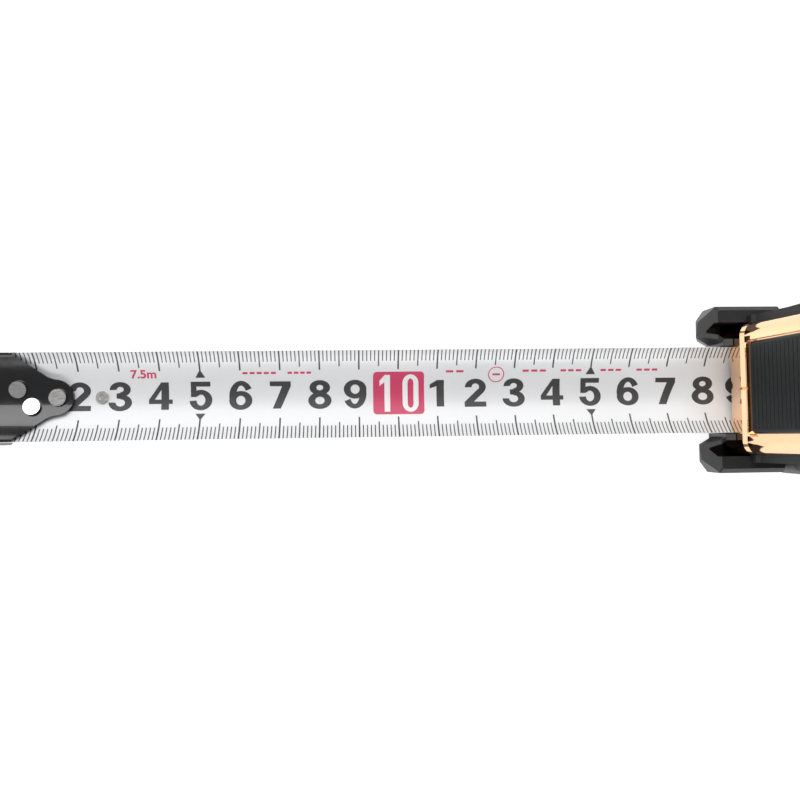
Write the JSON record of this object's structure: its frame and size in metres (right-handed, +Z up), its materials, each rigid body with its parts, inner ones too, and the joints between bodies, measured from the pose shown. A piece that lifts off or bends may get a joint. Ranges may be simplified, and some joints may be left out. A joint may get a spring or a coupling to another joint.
{
  "type": "tape measure",
  "caption": "Pocket tape measure with a curved steel blade drawn out and locked, riveted end hook, ribbed slide lock, metallic case with elastomer grips and bumper ears",
  "frame": {"origin": "on the base plane, right under the reel's axis, midway across the case", "axes": "+X from the mouth into the case, so the blade comes out along -X; +Y to the left side with the badge; +Z up"},
  "size_m": [0.264, 0.0503, 0.078],
  "materials": {
    "gold_shell": "mirror plated rose gold over ABS",
    "dark_screw": "black oxide",
    "cover": "fine matt charcoal",
    "elastomer": "soft semi-matt",
    "badge": "plain satin label",
    "bumper": "satin black nylon",
    "guide": "dark acetal",
    "bright_steel": "plain",
    "spring_steel": "blued",
    "clip_steel": "black satin",
    "reel": "natural acetal",
    "blade": "white satin lacquer",
    "rivet": "bright nickel",
    "hook": "gloss black",
    "button": "satin black, ribbed"
  },
  "bodies": {
    "case": {"case_left": "gold_shell", "case_right": "gold_shell", "case_screws": "dark_screw", "side_cover_left": "cover", "side_cover_right": "cover", "grip_left": "elastomer", "grip_right": "elastomer", "badge": "badge", "base_pad": "elastomer", "front_bumper": "bumper", "mouth_cushion": "elastomer", "mouth_guide": "guide", "spindle": "guide", "spindle_screw": "dark_screw", "reel_washers": "bright_steel", "power_spring": "spring_steel", "belt_clip": "clip_steel", "clip_screw": "dark_screw"},
    "reel": {"reel_drum": "reel", "reel_cover": "reel", "blade_coil": "blade"},
    "blade_end": {"blade": "blade", "tip_plate": "bright_steel", "hook_rivets": "rivet", "stop_eyelet": "rivet"},
    "hook": {"hook": "hook"},
    "lock": {"lock_button": "button", "lock_carriage": "guide", "lock_leaf": "spring_steel", "lock_screws": "bright_steel", "brake_pad": "elastomer"}
  },
  "joints": [
    {"name": "blade_slide", "type": "slide", "parent": "case", "child": "blade_end", "axis": [1, 0, 0], "range_m": [0, 0.1755], "deforming": ["blade"]},
    {"name": "reel_spin", "type": "hinge", "parent": "case", "child": "reel", "pos_m": [0, 0, 0.0425], "axis": [0, 1, 0], "range_deg": [-336, 0]},
    {"name": "hook_float", "type": "slide", "parent": "blade_end", "child": "hook", "axis": [1, 0, 0], "range_m": [0, 0.001]},
    {"name": "lock_slide", "type": "slide", "parent": "case", "child": "lock", "axis": [0.1685, 0, 0.9857], "range_m": [0, 0.0045]}
  ],
  "couplings": [
    {"joint": "reel_spin", "follows": "blade_slide", "rad_per_m": -33.333}
  ]
}
